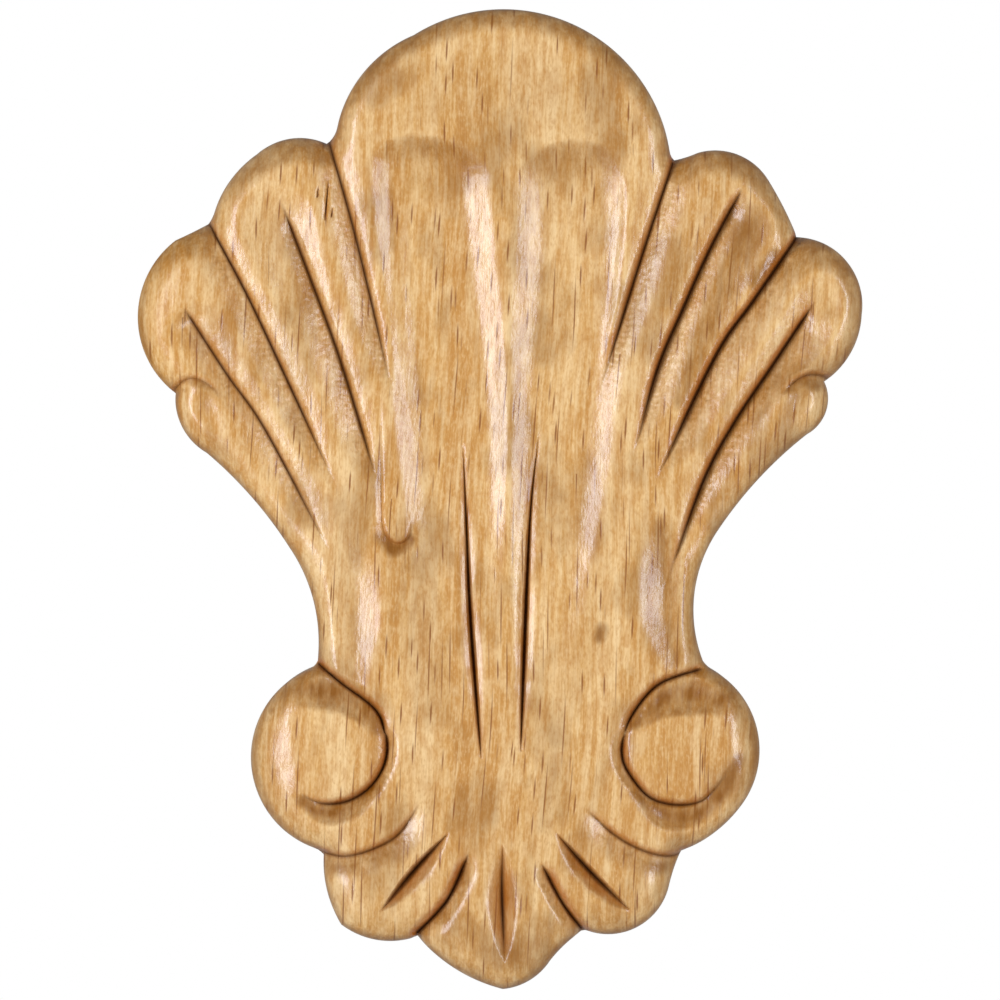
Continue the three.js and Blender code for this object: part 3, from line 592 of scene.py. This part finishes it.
# Points of the face: the rim, rings inside it, rows along every cut, then a finer and a coarser lattice
def facePoints():
    kept = [rim]
    margin = mesh["clearMargin"]
    taken = {kind: np.zeros([int(n / cell) + 2 * margin for n in (boxSize.x, boxSize.z)], bool)
             for kind, cell in mesh["clear"].items()}

    def cells(points, kind):
        return ((points - corner) / mesh["clear"][kind] + margin).astype(int).T

    def add(points, fromEdge, kind):
        points = points[insideRim(points[:, 0], points[:, 1])]
        points = points[fromRim(points[:, 0], points[:, 1]) > fromEdge]
        i, k = cells(points, kind)
        points = points[~taken[kind][i, k]]
        kept.append(points)
        for every in taken:
            i, k = cells(points, every)
            for di in (-1, 0, 1):
                for dk in (-1, 0, 1):
                    taken[every][i + di, k + dk] = True

    for group, size in sidedCuts:
        wall = relief[size]["wall"]
        for item in group:
            line = evenLine(item)
            for across in (0, -wall, -0.5 * wall, *mesh["cutRows"]):
                add(alongside(line, np.full(len(line), item["side"] * across)), mesh["rowFromRim"], "row")
    for item in slits + fanCuts:
        line = evenLine(item)
        shares = np.linspace(0, 1, len(line))
        if item in slits:
            reach = item.get("size", 1) * slitReach(shares)
            core, bevel = relief["slitHalfWidth"], relief["slitBevel"]
            offsets = [o * reach for o in (0, -core, core, -bevel, bevel)]
        else:
            edge, facet = relief["fanCutEdge"], mesh["facetRow"]
            halfLeft, halfRight = fanHalves(item)
            across = (0, -halfLeft, halfRight, edge - halfLeft, halfRight - edge,
                      -facet * halfLeft, facet * halfRight)
            offsets = [o * np.sin(np.pi * shares) for o in across]
        for offset in offsets:
            add(alongside(line, offset), mesh["rowFromRim"], "row")
    for inward in mesh["rings"]:
        add(alongside(closedRim, np.full(len(closedRim), inward))[:-1], inward * mesh["ringFromRim"], "row")
    points = lattice(mesh["fine"])
    points = points[insideRim(*points.T)]
    near = np.zeros(len(points), bool)
    for group, size in sidedCuts + [(slits, "slit"), (fanCuts, "fanCut")]:
        reach = mesh["fineReach"][size]
        for item in group:
            line = splineThrough(item["path"], drawing["splinePieces"])
            index, offset, _ = besideLine(line, points[:, 0], points[:, 1], reach)
            near[index[np.abs(offset) < reach]] = True
    add(points[near], mesh["latticeFromRim"], "lattice")
    add(lattice(mesh["field"]), mesh["latticeFromRim"], "lattice")
    return np.vstack(kept)


# What a hand-guided cutter and wear leave: strength, width and length in millimetres, seed
hand = {
    "swell": (0.07, 3.2, 7.0, 4),
    "chatter": (0.03, 1.3, 2.2, 9),
    "worn": (1.6, 1.4, 2.4, 12),
    "grid": 200,                     # values each way, more than the ornament needs
    "gridMargin": 3,                 # values before the ornament's corner
    "carvedDepth": 0.35, "carvedFromRim": 1.2,   # from here on the tool marks are at their full strength
    "wornSpread": 5,                 # rounds of levelling that carry the wear over the edges
}


# Random values between -strength and strength, one every width and length, joined smoothly
def swells(x, z, strength, width, length, seed):
    heights = np.random.default_rng(seed).uniform(-1, 1, (hand["grid"], hand["grid"]))
    u, v = (x - corner[0]) / width + hand["gridMargin"], (z - corner[1]) / length + hand["gridMargin"]
    i, k = u.astype(int), v.astype(int)
    s, t = smooth(u - i), smooth(v - k)
    return strength * ((heights[i, k] * (1 - s) + heights[i + 1, k] * s) * (1 - t)
                       + (heights[i, k + 1] * (1 - s) + heights[i + 1, k + 1] * s) * t)


# Averages every point with its neighbours, over and over
def levelled(values, edges, rounds):
    count = np.maximum(np.bincount(edges.ravel(), minlength=values.size), 1)
    for _ in range(rounds):
        total = np.bincount(edges[:, 0], values[edges[:, 1]], values.size)
        total += np.bincount(edges[:, 1], values[edges[:, 0]], values.size)
        values = 0.5 * values + 0.5 * total / count
    return values


def carveOrnament():
    points = facePoints()
    _, _, faces, *_ = delaunay_2d_cdt([Vector(p) for p in points], [], [], 0, mesh["weld"])
    faces = np.array(faces)
    middle = points[faces].mean(axis=1)
    faces = faces[insideRim(middle[:, 0], middle[:, 1])]
    x, z = points.T
    rimDistance = fromRim(x, z)
    depth, layers = faceDepth(x, z, rimDistance)
    edges = np.unique(np.sort(np.vstack([faces[:, :2], faces[:, 1:], faces[:, ::2]]), axis=1), axis=0)
    pierced = layers.pop("pierced")
    crisp = np.clip(layers["cutBottom"] * relief["crispLine"] + relief["crispPierced"] * pierced, 0, 1)
    easing = smooth(rimDistance / relief["easedFromRim"]) * (1 - crisp)
    depth = depth + easing * (levelled(depth, edges, relief["easing"]) - depth)
    # glaze and painted shade also lie in every hollow, and painted shade along the rim
    near, wide = (depth - levelled(depth, edges, glazeAndPaintedShade[rounds]) for rounds in ("nearRounds", "wideRounds"))
    layers["glazeAndPaintedShade"] = np.max([layers.pop("shadeAndStain"),
                              glazeAndPaintedShade["near"] * smooth(near / glazeAndPaintedShade["nearDepth"]),
                              glazeAndPaintedShade["wide"] * smooth(wide / glazeAndPaintedShade["wideDepth"]),
                              glazeAndPaintedShade["rim"] * smooth(1 - rimDistance / glazeAndPaintedShade["rimWidth"])], axis=0)
    # where the cutter left its marks
    layers["carved"] = smooth(depth / hand["carvedDepth"]) * smooth(rimDistance / hand["carvedFromRim"])
    # the edges of the slits and the fan cuts are worn dull in places
    worn = levelled(np.sign(pierced), edges, hand["wornSpread"]) * np.clip(swells(x, z, *hand["worn"]), 0, 1)
    layers["matt"] = np.maximum(layers["matt"], worn)
    uneven = swells(x, z, *hand["swell"]) + swells(x, z, *hand["chatter"])
    depth = np.maximum(depth + layers["carved"] * uneven, 0)
    deepest = round(float(depth.max()), 2)
    print("face carved:", len(points), "points,", len(faces), "triangles, deepest", deepest)
    return points, faces, depth, layers


# The carved face, the walls behind its rim and the flat back, as one closed mesh
def makeOrnament():
    points, faces, depth, layers = carveOrnament()
    count = len(rim)
    faceY, backY = boxLow.y / millimetre, boxHigh.y / millimetre
    front = np.column_stack([points[:, 0], faceY + depth, points[:, 1]])
    rimFront = front[:count]
    rings = []
    for level in mesh["sideLevels"]:
        rings.append(rimFront + [[0, 1, 0]] * (backY - mesh["backEase"] - rimFront[:, 1:2]) * level)
    eased = alongside(closedRim, np.full(count + 1, mesh["backEase"]))[:-1]
    rings.append(np.column_stack([rim[:, 0], np.full(count, backY - mesh["backEase"]), rim[:, 1]]))
    rings.append(np.column_stack([eased[:, 0], np.full(count, backY), eased[:, 1]]))
    a, b, c = points[faces].transpose(1, 2, 0)
    turn = (b[0] - a[0]) * (c[1] - a[1]) - (b[1] - a[1]) * (c[0] - a[0])
    polygons = [face if t > 0 else face[::-1] for face, t in zip(faces.tolist(), turn)]
    after = (np.arange(count) + 1) % count
    above = np.arange(count)
    for k in range(len(rings)):
        below = len(points) + k * count + np.arange(count)
        polygons += np.column_stack([above, above[after], below[after], below]).tolist()
        above = below
    polygons.append(above.tolist())
    data = bpy.data.meshes.new("carvedShell")
    data.from_pydata((np.vstack([front] + rings) * millimetre).tolist(), [], polygons)
    upward = np.zeros(len(data.vertices) * 3)
    data.vertices.foreach_get("normal", upward)
    upward = upward.reshape(-1, 3)[:, 2]
    onRings = np.zeros(count * len(rings))
    layers = {name: np.concatenate([values, onRings]) for name, values in layers.items()}
    # painted shade on whatever faces up, laid in with the glaze
    layers["glazeAndPaintedShade"] = np.maximum(layers["glazeAndPaintedShade"], glazeAndPaintedShade["paintedShadeFacingUp"] * smooth(upward / glazeAndPaintedShade["paintedShadeFacingUpTilt"]))
    for name, values in layers.items():
        data.attributes.new(name, "FLOAT", "POINT").data.foreach_set("value", values.astype(np.float32))
    data.shade_smooth()
    data.set_sharp_from_angle(angle=math.radians(mesh["sharpAngle"]))
    print("ornament meshed:", sum(len(p.vertices) - 2 for p in data.polygons), "triangles")
    piece = bpy.data.objects.new("carved_shell", data)
    bpy.context.collection.objects.link(piece)
    return piece


# Adds a node with its settings, the values of its sockets and its links
def addNode(tree, kind, values=None, links=None, **settings):
    made = tree.nodes.new(kind)
    for name, value in settings.items():
        setattr(made, name, value)
    for socket, value in (values or {}).items():
        made.inputs[socket].default_value = value
    for socket, source in (links or {}).items():
        tree.links.new(source, made.inputs[socket])
    return made


# Pale open-pored hardwood, carved, sanded, wiped with a brown glaze and sprayed with satin lacquer:
# the eye gets honey streaks, thin dark pores, brown lines in the cuts and soft whitish gleams. With the glaze
# lie painted shade in the hollows, the cuts and on what faces up, and painted bounce light on the cut walls
wood = {
    "honey": "dca861", "pale": "f4cf96", "brown": "bc7c30", "pore": "8a4d14",
    "glazeAndPaintedShade": "8a5206", "warmGlazeAndPaintedBounce": "b0601a", "deepGlazeAndPaintedShade": "4a270c",
    # width, length and depth in millimetres, detail
    "patterns": {
        "band": (7.0, 60.0, 7.0, 3),
        "streak": (0.8, 14.0, 3.0, 4),
        "fibre": (0.24, 3.0, 1.0, 3),
        "speckle": (0.25, 0.6, 0.3, 2),
        "mottle": (1.2, 2.8, 1.4, 3),
        "blotch": (6.0, 11.0, 6.0, 3),
        "torn": (0.5, 0.9, 0.5, 3),
    },
    # spacing and length in millimetres, half width as a share of the spacing, least share above and below
    "pores": {"pore": (0.75, 8.0, 0.19, 0.75, 0.6), "vessel": (0.6, 24.0, 0.2, 0.35, 1.0)},
    "poreSheet": 50,                  # a pore reaches this many times its spacing into the wood
    "poreHeights": (25, -5),          # millimetres up the ornament: above and below them the shares hold
    "poreEdge": (0.5, 1.1),           # shares of the half width over which a pore fades
    "poreLeast": 0.5,                 # the narrowest pore, as a share of that half width
    # pattern, the values over which it comes in, how much, colour
    "coats": [
        ("band", 0.54, 0.38, 0.45, "brown"), ("band", 0.5, 0.64, 0.45, "pale"),
        ("streak", 0.5, 0.36, 0.45, "brown"), ("streak", 0.48, 0.62, 0.45, "pale"),
        ("fibre", 0.5, 0.34, 0.32, "brown"), ("fibre", 0.5, 0.66, 0.32, "pale"),
        ("speckle", 0.52, 0.7, 0.4, "brown"), ("speckle", 0.48, 0.3, 0.3, "pale"),
        ("mottle", 0.52, 0.68, 0.35, "brown"), ("mottle", 0.46, 0.32, 0.3, "pale"),
        ("blotch", 0.5, 0.66, 0.45, "glazeAndPaintedShade"),
        ("pore", 0, 1, 0.85, "pore"), ("vessel", 0, 1, 0.8, "pore"),
    ],
    # attribute, how much, colour: glaze with painted shade; glaze with painted shade and bounce light on the
    # cut walls; painted shade with glaze in the cut bottoms
    "shadeAndStainCoats": [("glazeAndPaintedShade", 1.0, "glazeAndPaintedShade"), ("cutSide", 0.8, "warmGlazeAndPaintedBounce"), ("cutBottom", 1.1, "deepGlazeAndPaintedShade")],
    "shadeAndStainFrom": 0.05,
    # the share left also holds for the painted shade and bounce light laid in with the glaze
    "patchiness": (0.8, 1.2, 0.7, 1.2),      # mottle plus streak, and the share of glaze left, each from and to
    "lean": -2.5,                     # degrees off the ornament's axis
    "wander": 2.4, "wanderScale": 0.035,
    "roughness": 0.6, "ior": 1.5, "specular": 0.1, "lacquerRoughness": 0.28,
    "leastLacquer": 0.15,
    # relief of the fibres and the pores, as shares of the bump's height in metres
    "bump": {"fibre": 0.3, "pore": -0.2, "strength": 0.6, "height": 0.0001},
}


def hardwoodMaterial():
    material = bpy.data.materials.new("glazedLacqueredHardwood")
    material.use_nodes = True
    tree = material.node_tree
    tree.nodes.clear()
    where = addNode(tree, "ShaderNodeTexCoord")
    sized = addNode(tree, "ShaderNodeVectorMath", {"Scale": 1 / millimetre}, {0: where.outputs["Object"]},
                    operation="SCALE")
    leaning = addNode(tree, "ShaderNodeMapping", {"Rotation": (0, math.radians(wood["lean"]), 0)},
                      {"Vector": sized.outputs["Vector"]})
    drift = addNode(tree, "ShaderNodeTexNoise", {"Scale": wood["wanderScale"], "Detail": 1},
                    {"Vector": sized.outputs["Vector"]})
    sideways = addNode(tree, "ShaderNodeVectorMath", {1: (wood["wander"], 0, 0)}, {0: drift.outputs["Color"]},
                       operation="MULTIPLY")
    grain = addNode(tree, "ShaderNodeVectorMath", None,
                    {0: leaning.outputs["Vector"], 1: sideways.outputs["Vector"]}, operation="ADD")
    masks = {}
    for name, (width, length, depth, detail) in wood["patterns"].items():
        stretch = addNode(tree, "ShaderNodeMapping", {"Scale": (1 / width, 1 / depth, 1 / length)},
                          {"Vector": grain.outputs["Vector"]})
        masks[name] = addNode(tree, "ShaderNodeTexNoise", {"Scale": 1, "Detail": detail},
                              {"Vector": stretch.outputs["Vector"]}).outputs["Fac"]
    height = addNode(tree, "ShaderNodeSeparateXYZ", None, {"Vector": sized.outputs["Vector"]})
    for name, (spacing, length, size, above, below) in wood["pores"].items():
        stretch = addNode(tree, "ShaderNodeMapping",
                          {"Scale": (1 / spacing, 1 / (spacing * wood["poreSheet"]), 1 / length)},
                          {"Vector": grain.outputs["Vector"]})
        cells = addNode(tree, "ShaderNodeTexVoronoi", {"Scale": 1}, {"Vector": stretch.outputs["Vector"]})
        chance = addNode(tree, "ShaderNodeSeparateColor", None, {"Color": cells.outputs["Color"]})
        upper, lower = wood["poreHeights"]
        share = addNode(tree, "ShaderNodeMapRange",
                        {"From Min": upper, "From Max": lower, "To Min": above, "To Max": below},
                        {"Value": height.outputs["Z"]})
        there = addNode(tree, "ShaderNodeMath", None, {0: chance.outputs["Red"], 1: share.outputs["Result"]},
                        operation="LESS_THAN")
        halfWidth = addNode(tree, "ShaderNodeMath", {1: size, 2: wood["poreLeast"] * size},
                            {0: chance.outputs["Green"]}, operation="MULTIPLY_ADD")
        across = addNode(tree, "ShaderNodeMath", None,
                         {0: cells.outputs["Distance"], 1: halfWidth.outputs["Value"]}, operation="DIVIDE")
        inner, outer = wood["poreEdge"]
        line = addNode(tree, "ShaderNodeMapRange",
                       {"From Min": inner, "From Max": outer, "To Min": 1, "To Max": 0},
                       {"Value": across.outputs["Value"]})
        masks[name] = addNode(tree, "ShaderNodeMath", None,
                              {0: line.outputs["Result"], 1: there.outputs["Value"]},
                              operation="MULTIPLY").outputs["Value"]
    # noise leaves the glaze uneven, and with it the painted shade and the painted bounce light on the cut
    # walls
    patchiness = addNode(tree, "ShaderNodeMath", None, {0: masks["mottle"], 1: masks["streak"]}, operation="ADD")
    low, high, thin, thick = wood["patchiness"]
    uneven = addNode(tree, "ShaderNodeMapRange",
                     {"From Min": low, "From Max": high, "To Min": thin, "To Max": thick},
                     {"Value": patchiness.outputs["Value"]})
    coats = list(wood["coats"])
    # the glaze, with the painted shade and painted bounce light, laid on as coats
    for name, most, paint in wood["shadeAndStainCoats"]:
        masks[name] = addNode(tree, "ShaderNodeAttribute", attribute_name=name).outputs["Fac"]
        if name != "cutBottom":
            masks[name] = addNode(tree, "ShaderNodeMath", None, {0: masks[name], 1: uneven.outputs["Result"]},
                                  operation="MULTIPLY").outputs["Value"]
        coats.append((name, wood["shadeAndStainFrom"], 1, most, paint))
    colour = None
    for name, low, high, most, paint in coats:
        amount = addNode(tree, "ShaderNodeMapRange", {"From Min": low, "From Max": high, "To Max": most},
                         {"Value": masks[name]})
        mix = addNode(tree, "ShaderNodeMix", {6: hexColour(wood["honey"]), 7: hexColour(wood[paint])},
                      {"Factor": amount.outputs["Result"]}, data_type="RGBA")
        if colour:
            tree.links.new(colour, mix.inputs[6])
        colour = mix.outputs[2]

    # the lacquer sinks in where the glaze lies thick and on the matt flank
    matt = addNode(tree, "ShaderNodeAttribute", attribute_name="matt")
    dull = addNode(tree, "ShaderNodeMath", None, {0: matt.outputs["Fac"], 1: masks["cutBottom"]},
                   operation="ADD")
    lacquer = addNode(tree, "ShaderNodeMapRange", {"To Min": 1, "To Max": wood["leastLacquer"]},
                      {"Value": dull.outputs["Value"]})
    # the fibres are torn where the wood is carved
    carved = addNode(tree, "ShaderNodeAttribute", attribute_name="carved")
    torn = addNode(tree, "ShaderNodeMath", None, {0: masks["torn"], 1: carved.outputs["Fac"]},
                   operation="MULTIPLY")
    rough = addNode(tree, "ShaderNodeMath", {1: wood["bump"]["fibre"]},
                    {0: masks["fibre"], 2: torn.outputs["Value"]}, operation="MULTIPLY_ADD")
    lift = addNode(tree, "ShaderNodeMath", {1: wood["bump"]["pore"]},
                   {0: masks["pore"], 2: rough.outputs["Value"]}, operation="MULTIPLY_ADD")
    bump = addNode(tree, "ShaderNodeBump",
                   {"Strength": wood["bump"]["strength"], "Distance": wood["bump"]["height"]},
                   {"Height": lift.outputs["Value"]})
    shader = addNode(tree, "ShaderNodeBsdfPrincipled", {
        "Roughness": wood["roughness"], "IOR": wood["ior"], "Specular IOR Level": wood["specular"],
        "Coat Roughness": wood["lacquerRoughness"]},
        {"Base Color": colour, "Coat Weight": lacquer.outputs["Result"],
         "Normal": bump.outputs["Normal"], "Coat Normal": bump.outputs["Normal"]})
    addNode(tree, "ShaderNodeOutputMaterial", None, {"Surface": shader.outputs["BSDF"]})
    return material


ornament = makeOrnament()
ornament.data.materials.append(hardwoodMaterial())
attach(ornament, "root")
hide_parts("shell_ornament")
print("ornament finished")

studio = {
    "paper": 1.0,            # what the camera sees behind the ornament
    "ambient": 0.28,         # what lights it
    "floorBelow": 0.03,
    "floorHalf": 0.25,
    "floor": "f2f1ee",
    "daylight": "e6efff",
    # azimuth, elevation, distance, width, height, brightness
    "lights": {
        "leftSoftbox": (-45, 2, 0.7, 0.2, 0.42, 16.3),
        "rightSoftbox": (46, 2, 0.7, 0.15, 0.36, 15.7),
        "lowSoftbox": (0, -50, 0.7, 0.6, 0.5, 1.2),
    },
}


def makeStudio():
    world = bpy.data.worlds.new("studio")
    world.use_nodes = True
    tree = world.node_tree
    tree.nodes.clear()
    sight = addNode(tree, "ShaderNodeLightPath")
    strength = addNode(tree, "ShaderNodeMapRange", {"To Min": studio["ambient"], "To Max": studio["paper"]},
                       {"Value": sight.outputs["Is Camera Ray"]})
    paper = addNode(tree, "ShaderNodeBackground", {"Color": (1, 1, 1, 1)},
                    {"Strength": strength.outputs["Result"]})
    addNode(tree, "ShaderNodeOutputWorld", None, {"Surface": paper.outputs["Background"]})
    bpy.context.scene.world = world
    bpy.context.scene.view_settings.view_transform = "Standard"
    for name, (azimuth, elevation, distance, width, height, brightness) in studio["lights"].items():
        data = bpy.data.lights.new(name, "AREA")
        data.shape = "RECTANGLE"
        data.size, data.size_y = width, height
        data.energy = math.pi * width * height * brightness
        data.color = hexColour(studio["daylight"])[:3]
        lamp = bpy.data.objects.new(name, data)
        bpy.context.collection.objects.link(lamp)
        a, e = math.radians(azimuth), math.radians(elevation)
        away = Vector((math.sin(a) * math.cos(e), -math.cos(a) * math.cos(e), math.sin(e)))
        lamp.location = away * distance
        lamp.rotation_mode = "QUATERNION"
        lamp.rotation_quaternion = away.to_track_quat("Z", "Y")
    half = studio["floorHalf"]
    height = boxLow.z - studio["floorBelow"]
    data = bpy.data.meshes.new("floor")
    square = [(-half, -half), (half, -half), (half, half), (-half, half)]
    data.from_pydata([(x, y, height) for x, y in square], [], [(0, 1, 2, 3)])
    floor = bpy.data.objects.new("floor", data)
    bpy.context.collection.objects.link(floor)
    material = bpy.data.materials.new("paleMattFloor")
    material.use_nodes = True
    shader = material.node_tree.nodes["Principled BSDF"]
    shader.inputs["Base Color"].default_value = hexColour(studio["floor"])
    floor.data.materials.append(material)


makeStudio()
print("studio lit")
